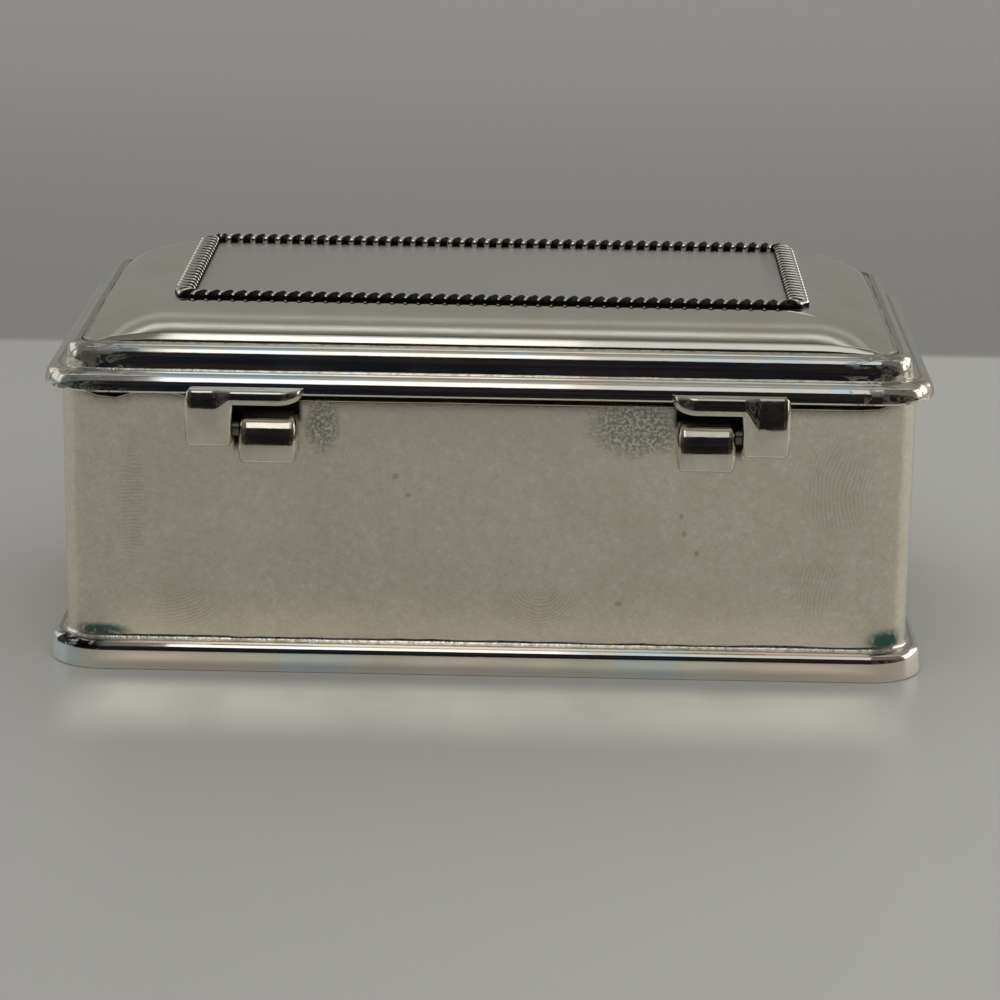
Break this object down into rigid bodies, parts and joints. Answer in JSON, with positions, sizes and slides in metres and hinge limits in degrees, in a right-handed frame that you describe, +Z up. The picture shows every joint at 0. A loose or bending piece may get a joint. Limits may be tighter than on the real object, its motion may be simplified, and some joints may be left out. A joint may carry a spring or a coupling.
{
  "type": "trinket box",
  "caption": "Rectangular polished silver trinket box with a hinged stepped lid, a gadrooned border on its flat top, a moulded foot and a velvet lining.",
  "frame": {"origin": "centre of the flat underside of the base", "axes": "+Z up; +X along the length, to the right as seen from the front; -Y is the front, and the hinges are at the back, +Y"},
  "size_m": [0.127, 0.073, 0.053],
  "materials": {
    "silver": "bright polished silver with light handling marks",
    "satin_silver": "worn silver sheet, fine scratches and finger marks",
    "gadroon_silver": "silver wire, darkened in its valleys",
    "pin_steel": "drawn wire, slightly dull",
    "velvet": "dark blue cotton velvet",
    "card": "uncoated grey-brown board"
  },
  "bodies": {
    "box": {"base_plate": "satin_silver", "base_moulding": "silver", "body_walls": "satin_silver", "mouth_bezel": "silver", "wall_lining": "velvet", "floor_board": "card", "floor_pad": "velvet", "hinge_knuckle_left": "silver", "hinge_knuckle_right": "silver", "hinge_pin_left": "pin_steel", "hinge_pin_right": "pin_steel"},
    "lid": {"lid_rim_moulding": "silver", "lid_step_moulding": "silver", "lid_cover": "silver", "gadroon_border": "gadroon_silver", "lid_lining_board": "card", "lid_lining_pad": "velvet", "hinge_bracket_left": "silver", "hinge_bracket_right": "silver"}
  },
  "joints": [
    {"name": "lid_hinge", "type": "hinge", "parent": "box", "child": "lid", "pos_m": [0, 0.0353, 0.0363], "axis": [-1, 0, 0], "range_deg": [0, 98]}
  ]
}
